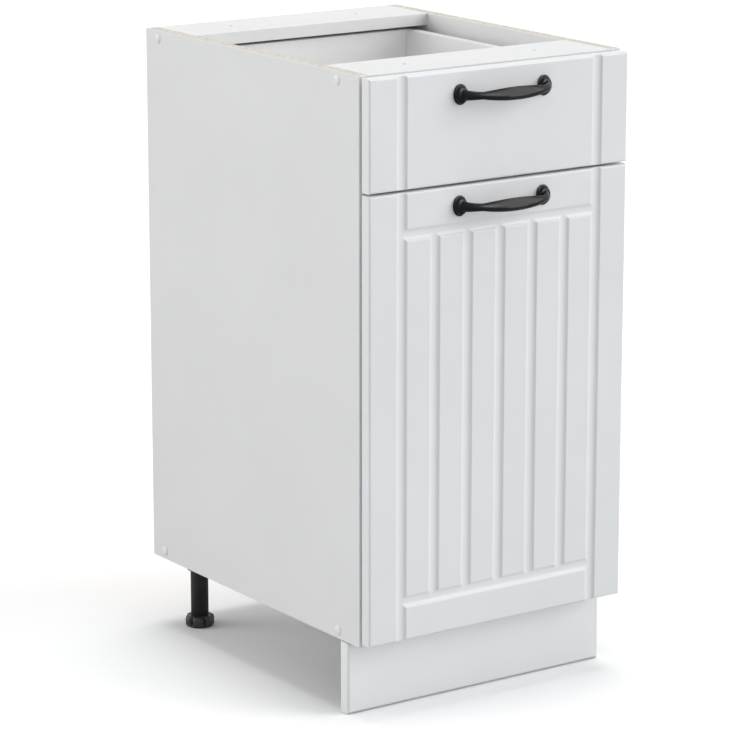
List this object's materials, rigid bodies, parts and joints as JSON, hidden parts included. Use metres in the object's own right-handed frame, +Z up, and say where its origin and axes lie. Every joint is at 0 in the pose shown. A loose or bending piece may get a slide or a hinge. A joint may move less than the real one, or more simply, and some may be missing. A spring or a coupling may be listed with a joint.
{
  "type": "kitchen base cabinet",
  "caption": "White kitchen base cabinet with a grooved drawer front over a matching hinged door, dark bow handles, a plinth and levelling legs, open on top for a worktop.",
  "frame": {"origin": "on the floor, under the middle of the whole cabinet's box", "axes": "+Z up, -Y out of the fronts, +X to the right seen from the front, where the door hinges are"},
  "size_m": [0.4044, 0.5494, 0.816],
  "materials": {
    "board_white": "white melamine-faced chipboard, satin",
    "front_foil": "white foil-wrapped fibreboard, satin",
    "sheet_white": "thin hardboard, white on one face",
    "beech": "plain beech",
    "zinc_steel": "bright zinc plated",
    "runner_paint": "white epoxy powder coat",
    "handle_black": "black satin lacquer on cast metal",
    "leg_black": "black moulded plastic",
    "nylon_white": "natural white nylon",
    "cap_white": "white moulded plastic",
    "bumper_clear": "soft clear pad"
  },
  "bodies": {
    "carcass": {"left_side_panel": "board_white", "right_side_panel": "board_white", "bottom_panel": "board_white", "front_top_rail": "board_white", "rear_top_rail": "board_white", "shelf": "board_white", "plinth_panel": "board_white", "back_panel": "sheet_white", "carcass_dowels": "beech", "back_panel_nails": "zinc_steel", "shelf_pins": "zinc_steel", "carcass_screws": "zinc_steel", "plinth_clip_screws": "zinc_steel", "leg_screws": "zinc_steel", "euro_screws": "zinc_steel", "cabinet_roller_axles": "zinc_steel", "lower_hinge_plate": "zinc_steel", "upper_hinge_plate": "zinc_steel", "lower_hinge_arm": "zinc_steel", "upper_hinge_arm": "zinc_steel", "hinge_arm_screws": "zinc_steel", "left_cabinet_runner": "runner_paint", "right_cabinet_runner": "runner_paint", "front_left_leg": "leg_black", "front_right_leg": "leg_black", "rear_left_leg": "leg_black", "rear_right_leg": "leg_black", "plinth_clips": "leg_black", "screw_caps": "cap_white"},
    "drawer": {"drawer_front": "front_foil", "drawer_left_side": "board_white", "drawer_right_side": "board_white", "drawer_back": "board_white", "drawer_bottom": "sheet_white", "drawer_screws": "zinc_steel", "drawer_cams": "zinc_steel", "drawer_cam_bolts": "zinc_steel", "left_drawer_runner": "runner_paint", "right_drawer_runner": "runner_paint", "drawer_runner_screws": "zinc_steel", "drawer_roller_axles": "zinc_steel", "drawer_handle": "handle_black", "drawer_handle_screws": "zinc_steel"},
    "door": {"door_panel": "front_foil", "door_handle": "handle_black", "door_handle_screws": "zinc_steel", "lower_hinge_cup": "zinc_steel", "upper_hinge_cup": "zinc_steel", "hinge_pins": "zinc_steel", "hinge_cup_screws": "zinc_steel", "door_bumpers": "bumper_clear"},
    "left_cabinet_roller": {"left_cabinet_roller": "nylon_white"},
    "right_cabinet_roller": {"right_cabinet_roller": "nylon_white"},
    "left_drawer_roller": {"left_drawer_roller": "nylon_white"},
    "right_drawer_roller": {"right_drawer_roller": "nylon_white"},
    "front_left_foot": {"front_left_foot": "leg_black"},
    "front_right_foot": {"front_right_foot": "leg_black"},
    "rear_left_foot": {"rear_left_foot": "leg_black"},
    "rear_right_foot": {"rear_right_foot": "leg_black"}
  },
  "joints": [
    {"name": "drawer_slide", "type": "slide", "parent": "carcass", "child": "drawer", "axis": [0, -1, 0], "range_m": [0, 0.3]},
    {"name": "door_swing", "type": "hinge", "parent": "carcass", "child": "door", "pos_m": [0.1915, -0.23125, 0.386], "axis": [0, 0, 1], "range_deg": [0, 100]},
    {"name": "left_cabinet_roller_spin", "type": "hinge", "parent": "carcass", "child": "left_cabinet_roller", "pos_m": [-0.17775, -0.20975, 0.6987], "axis": [1, 0, 0], "continuous": true},
    {"name": "right_cabinet_roller_spin", "type": "hinge", "parent": "carcass", "child": "right_cabinet_roller", "pos_m": [0.17775, -0.20975, 0.6987], "axis": [1, 0, 0], "continuous": true},
    {"name": "left_drawer_roller_spin", "type": "hinge", "parent": "drawer", "child": "left_drawer_roller", "pos_m": [-0.17775, 0.17025, 0.6987], "axis": [1, 0, 0], "continuous": true},
    {"name": "right_drawer_roller_spin", "type": "hinge", "parent": "drawer", "child": "right_drawer_roller", "pos_m": [0.17775, 0.17025, 0.6987], "axis": [1, 0, 0], "continuous": true},
    {"name": "front_left_foot_level", "type": "slide", "parent": "carcass", "child": "front_left_foot", "axis": [0, 0, -1], "range_m": [0, 0.02]},
    {"name": "front_right_foot_level", "type": "slide", "parent": "carcass", "child": "front_right_foot", "axis": [0, 0, -1], "range_m": [0, 0.02]},
    {"name": "rear_left_foot_level", "type": "slide", "parent": "carcass", "child": "rear_left_foot", "axis": [0, 0, -1], "range_m": [0, 0.02]},
    {"name": "rear_right_foot_level", "type": "slide", "parent": "carcass", "child": "rear_right_foot", "axis": [0, 0, -1], "range_m": [0, 0.02]}
  ],
  "couplings": [
    {"joint": "left_cabinet_roller_spin", "follows": "drawer_slide", "rad_per_m": 133.33},
    {"joint": "right_cabinet_roller_spin", "follows": "drawer_slide", "rad_per_m": 133.33},
    {"joint": "left_drawer_roller_spin", "follows": "drawer_slide", "rad_per_m": 133.33},
    {"joint": "right_drawer_roller_spin", "follows": "drawer_slide", "rad_per_m": 133.33}
  ]
}
